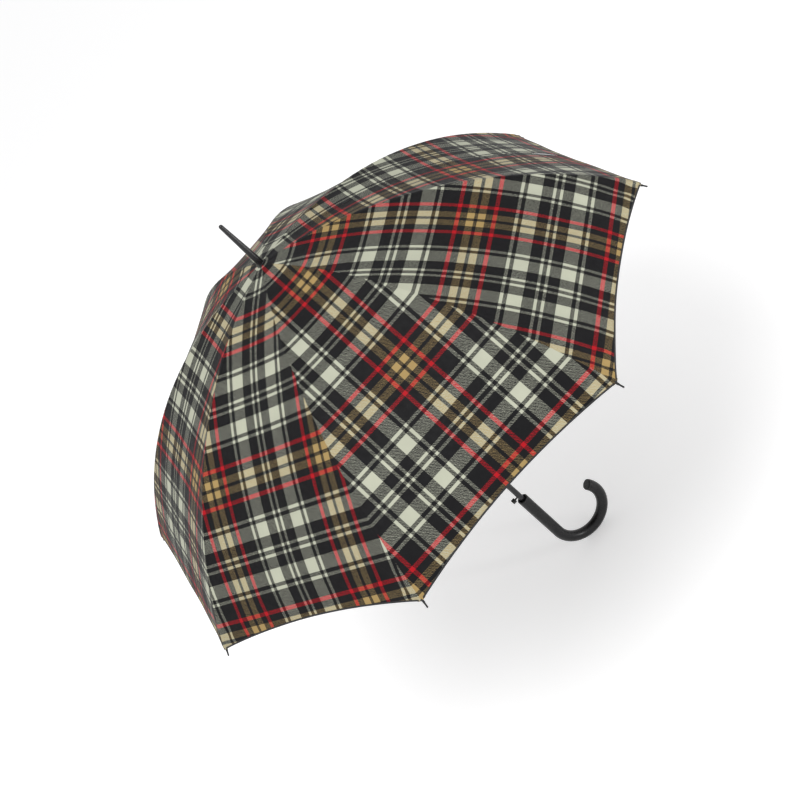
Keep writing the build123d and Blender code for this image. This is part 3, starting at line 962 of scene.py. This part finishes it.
def thread_loop(bm, shape, rib, arc, depth, width):
    """Adds one closed loop of thread round a rib, square to it, just through the cloth."""
    before = set(bm.verts)
    level = Matrix.Rotation(math.pi / 2, 4, "X")
    place = Matrix.Translation((0, 0, width / 2)) @ level
    ring = bmesh.ops.create_circle(bm, segments=8, radius=shape.sizes.thread, matrix=place)["verts"]
    edges = list({e for v in ring for e in v.link_edges})
    axis = Vector((1, 0, 0))
    bmesh.ops.spin(
        bm, geom=ring + edges, cent=(0, 0, 0), axis=axis, angle=math.tau, steps=20, use_merge=True
    )
    made = [v for v in bm.verts if v not in before]
    longer = (depth - width) / 2
    for vert in made:
        vert.co.z += math.copysign(longer, vert.co.z)
    turn = Matrix.Rotation(rib_azimuth(rib), 4, "Z") @ Matrix.Rotation(shape.slope(arc), 4, "Y")
    centre = shape.rib_place(rib, arc, -0.0004 - depth / 2)
    bmesh.ops.transform(bm, matrix=Matrix.Translation(centre) @ turn, verts=made)


class UMBRELLA_OT_handle(bpy.types.Operator):
    """The moulded crook handle with its cup round the shaft, and the cap on the crook's end"""

    bl_idname = "umbrella.handle"
    bl_label = "Crook handle"

    # How the crook's end turns in: each ring's share of the grip's radius, and its step forward
    lip = ((0.985, 0.0003), (0.955, 0.0003), (0.90, -0.0006))

    def execute(self, context):
        sizes = context.scene.umbrella_fittings
        self.grip_and_crook(sizes)
        self.end_cap(sizes)
        return {"FINISHED"}

    def grip_and_crook(self, sizes):
        top, low = HANDLE_HIGH.z, CROOK_CENTRE.z
        cup_floor = top - sizes.cup_depth
        bore = SHAFT_RADIUS + 0.0001
        profile = [
            (GRIP_RADIUS, low),
            (GRIP_RADIUS, top),
            (sizes.cup_radius, top),
            (sizes.cup_radius, cup_floor),
            (bore, cup_floor),
            (bore, cup_floor - 0.004),
        ]
        profile = rounded(profile, 3, 0.0008, 4)
        profile = rounded(profile, 2, 0.0009, 4)
        profile = rounded(profile, 1, sizes.rim_round, 8)
        bm = bmesh.new()
        lathe(bm, profile)
        rim = [v for v in bm.verts if abs(v.co.z - low) < 1e-6]
        edges = [e for e in bm.edges if all(v in rim for v in e.verts)]
        made = bmesh.ops.spin(
            bm,
            geom=rim + edges,
            cent=CROOK_CENTRE,
            axis=(0, -1, 0),
            angle=sizes.crook_sweep,
            steps=96,
        )
        self.close_end(bm, made["geom_last"], sizes)
        bottom = [e for e in bm.edges if e.is_boundary]
        bmesh.ops.holes_fill(bm, edges=bottom, sides=0)
        outward_normals(bm)
        handle = add_piece("crook_handle", bm, ["satin_black_grip"], "root")
        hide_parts("handle")

    def end_frame(self, sizes):
        """The place and heading of the crook's end."""
        turn = Matrix.Rotation(sizes.crook_sweep, 4, (0, -1, 0))
        about = Matrix.Translation(CROOK_CENTRE)
        start = Matrix.Translation((0, 0, CROOK_CENTRE.z)) @ Matrix.Rotation(math.pi, 4, "Y")
        return about @ turn @ about.inverted() @ start

    def close_end(self, bm, last, sizes):
        """Turns the crook's open end in, to make the seam in front of the cap."""
        place = self.end_frame(sizes)
        edges = [g for g in last if isinstance(g, bmesh.types.BMEdge)]
        for shrink, advance in self.lip:
            made = bmesh.ops.extrude_edge_only(bm, edges=edges)["geom"]
            ring = [g for g in made if isinstance(g, bmesh.types.BMVert)]
            edges = [g for g in made if isinstance(g, bmesh.types.BMEdge) and g.is_boundary]
            wide = sum((v.co - place.translation).length for v in ring) / len(ring)
            factor = shrink * GRIP_RADIUS / wide
            about = Matrix.Translation(-place.translation)
            bmesh.ops.scale(bm, verts=ring, vec=(factor,) * 3, space=about)
            bmesh.ops.translate(bm, verts=ring, vec=place.to_3x3() @ Vector((0, 0, advance)))

    def end_cap(self, sizes):
        thick = 0.004
        profile = [
            (0.0, 0.0004),
            (GRIP_RADIUS * 0.955, 0.0004),
            (GRIP_RADIUS * 0.985, 0.0008),
            (GRIP_RADIUS * 0.985, thick - 0.0002),
            (GRIP_RADIUS * 0.55, thick),
            (0.0, thick),
        ]
        profile = rounded(profile, 3, 0.0016, 7)
        bm = bmesh.new()
        lathe(bm, profile)
        bmesh.ops.transform(bm, matrix=self.end_frame(sizes), verts=bm.verts[:])
        outward_normals(bm)
        cap = add_piece("crook_end_cap", bm, ["satin_black_grip"], "root")
        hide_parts("crook_cap")


class UMBRELLA_OT_button(bpy.types.Operator):
    """The release knob on its stem beside the shaft"""

    bl_idname = "umbrella.button"
    bl_label = "Release knob"

    def execute(self, context):
        low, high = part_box("push_button")
        radius = (high.y - low.y) / 2
        length, stem = 0.007, 0.0015
        reach = high.x - low.x
        profile = [
            (0.0, reach),
            (radius, reach),
            (radius, reach - length * 0.42),
            (radius * 0.88, reach - length * 0.50),
            (radius, reach - length * 0.58),
            (radius, reach - length),
            (stem, reach - length),
            (stem, 0.0),
            (0.0, 0.0),
        ]
        profile = rounded(profile, 6, 0.0005, 4)
        profile = rounded(profile, 5, 0.0006, 4)
        profile = rounded(profile, 1, 0.0016, 7)
        bm = bmesh.new()
        lathe(bm, profile, 48)
        stem_foot = Matrix.Translation((high.x, 0, (low.z + high.z) / 2))
        place = stem_foot @ Matrix.Rotation(-math.pi / 2, 4, "Y")
        bmesh.ops.transform(bm, matrix=place, verts=bm.verts[:])
        outward_normals(bm)
        knob = add_piece("release_knob", bm, ["black_knob"], "push_button")
        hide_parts("push_button")
        return {"FINISHED"}


class UMBRELLA_OT_ferrule(bpy.types.Operator):
    """The long tapered ferrule above the canopy"""

    bl_idname = "umbrella.ferrule"
    bl_label = "Ferrule"

    def execute(self, context):
        sizes = context.scene.umbrella_fittings
        low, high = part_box("ferrule")
        shaft_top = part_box("shaft")[1].z
        foot = shaft_top + 0.0005
        collar_top = foot + sizes.collar
        tip = sizes.ferrule_tip
        spigot = SHAFT_RADIUS - 0.00062
        profile = [
            (0.0, low.z),
            (spigot, low.z),
            (spigot, foot),
            (sizes.ferrule_base, foot),
            (sizes.ferrule_base, collar_top),
            (tip, high.z - tip),
        ]
        profile = rounded(profile, 4, 0.02, 8)
        profile = rounded(profile, 3, 0.0006, 4)
        for step in range(1, 9):
            angle = math.pi / 2 * step / 8
            profile.append((tip * math.cos(angle), high.z - tip + tip * math.sin(angle)))
        bm = bmesh.new()
        lathe(bm, profile)
        outward_normals(bm)
        ferrule = add_piece("tapered_ferrule", bm, ["black_ferrule"], "root")
        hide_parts("ferrule")
        return {"FINISHED"}


class UMBRELLA_OT_finishes(bpy.types.Operator):
    """The finishes of the frame's own pieces that show as they are"""

    bl_idname = "umbrella.finishes"
    bl_label = "Frame finishes"

    by_slot = {
        "shaft_metal": "black_shaft",
        "rib_metal": "rib_steel",
        "tip_metal": "black_tip",
        "ferrule_plastic": "black_ferrule",
        "hub_plastic": "black_hub",
        "bright_wire": "bright_steel",
        "grip_plastic": "satin_black_grip",
        "button_plastic": "black_knob",
        "canopy_cloth": "black_hem_cloth",
    }

    def execute(self, context):
        slots = {part["node"]: part["material_slot"] for part in frame["record"]["subparts"]}
        for name, node in frame["nodes"].items():
            finish = finish_of(self.by_slot[slots[name]])
            for slot in node.material_slots:
                slot.material = finish
            if not node.material_slots:
                raise RuntimeError(f"{name} has no material slot")
        return {"FINISHED"}


class UMBRELLA_OT_stage(bpy.types.Operator):
    """The pale floor, the soft light and the camera"""

    bl_idname = "umbrella.stage"
    bl_label = "Stage"

    def execute(self, context):
        settings = context.scene.umbrella_stage
        self.floor(settings)
        self.lights(context, settings)
        self.camera(context, settings)
        return {"FINISHED"}

    def floor(self, settings):
        bm = bmesh.new()
        ground = Matrix.Translation((0, 0, CAD_BOX[0].z))
        bmesh.ops.create_grid(bm, x_segments=8, y_segments=8, size=30, matrix=ground)
        mesh = bpy.data.meshes.new("floor")
        bm.to_mesh(mesh)
        bm.free()
        made, _, shader = empty_material("pale_floor")
        shader.inputs["Base Color"].default_value = (*settings.floor, 1)
        shader.inputs["Roughness"].default_value = 0.9
        shader.inputs["Specular IOR Level"].default_value = 0.1
        shader.inputs["Emission Color"].default_value = (1, 1, 1, 1)
        shader.inputs["Emission Strength"].default_value = settings.floor_glow
        mesh.materials.append(made)
        floor = bpy.data.objects.new("floor", mesh)
        bpy.context.scene.collection.objects.link(floor)

    def lights(self, context, settings):
        world = bpy.data.worlds.new("white_surround")
        world.use_nodes = True
        background = next(n for n in world.node_tree.nodes if n.type == "BACKGROUND")
        background.inputs["Color"].default_value = (1, 1, 1, 1)
        background.inputs["Strength"].default_value = settings.surround
        context.scene.world = world
        key = self.lamp(context, "key", settings.key, (-0.55, -1.2, 2.85), 0.4)
        key.shape = "DISK"
        key.size = 1.6
        strip = self.lamp(context, "strip", settings.strip, (1.05, -1.15, 0.22), 0.05)
        strip.shape = "RECTANGLE"
        strip.size, strip.size_y = 0.12, 0.6
        context.scene.view_settings.view_transform = "Standard"

    def lamp(self, context, name, power, place, aim_height):
        """Adds an area light that faces a point on the shaft's axis; returns its data."""
        data = bpy.data.lights.new(name, "AREA")
        data.energy = power
        light = bpy.data.objects.new(name, data)
        context.scene.collection.objects.link(light)
        light.location = place
        light.visible_camera = False
        light.rotation_mode = "QUATERNION"
        aim = Vector((0, 0, aim_height)) - light.location
        light.rotation_quaternion = aim.to_track_quat("-Z", "Y")
        return data

    def camera(self, context, settings):
        data = bpy.data.cameras.new("camera")
        data.lens = settings.lens
        camera = bpy.data.objects.new("camera", data)
        context.scene.collection.objects.link(camera)
        azimuth, elevation = settings.azimuth, settings.elevation
        level = math.cos(elevation)
        back = Vector((math.sin(azimuth) * level, -math.cos(azimuth) * level, math.sin(elevation)))
        camera.location = Vector(settings.target) + back * settings.distance
        camera.rotation_mode = "QUATERNION"
        level_turn = (-back).to_track_quat("-Z", "Y")
        camera.rotation_quaternion = level_turn @ Quaternion(UP, -settings.roll)
        context.scene.camera = camera


PROPERTY_GROUPS = {
    "umbrella_canopy": UmbrellaCanopySizes,
    "umbrella_colours": UmbrellaClothColours,
    "umbrella_fittings": UmbrellaFittingSizes,
    "umbrella_stage": UmbrellaStageSettings,
}
OPERATORS = (
    UMBRELLA_OT_panels,
    UMBRELLA_OT_seams,
    UMBRELLA_OT_crown,
    UMBRELLA_OT_strap,
    UMBRELLA_OT_threads,
    UMBRELLA_OT_handle,
    UMBRELLA_OT_button,
    UMBRELLA_OT_ferrule,
    UMBRELLA_OT_finishes,
    UMBRELLA_OT_stage,
)


class UMBRELLA_PT_panel(bpy.types.Panel):
    """Lists the umbrella's operators in the order in which they build it"""

    bl_idname = "UMBRELLA_PT_panel"
    bl_label = "Tartan Stick Umbrella"
    bl_space_type = "VIEW_3D"
    bl_region_type = "UI"
    bl_category = "Umbrella"

    def draw(self, context):
        for group in PROPERTY_GROUPS:
            box = self.layout.box()
            settings = getattr(context.scene, group)
            for name in settings.bl_rna.properties.keys():
                if name not in ("rna_type", "name"):
                    box.prop(settings, name)
        for operator in OPERATORS:
            self.layout.operator(operator.bl_idname)


def register():
    for name, group in PROPERTY_GROUPS.items():
        bpy.utils.register_class(group)
        setattr(bpy.types.Scene, name, bpy.props.PointerProperty(type=group))
    for made in (*OPERATORS, UMBRELLA_PT_panel):
        bpy.utils.register_class(made)


def unregister():
    for made in reversed((*OPERATORS, UMBRELLA_PT_panel)):
        bpy.utils.unregister_class(made)
    for name, group in PROPERTY_GROUPS.items():
        delattr(bpy.types.Scene, name)
        bpy.utils.unregister_class(group)


def main():
    """Builds the umbrella and its stage."""
    register()
    for operator in OPERATORS:
        group, name = operator.bl_idname.split(".")
        getattr(getattr(bpy.ops, group), name)()


if __name__ == "__main__":
    main()
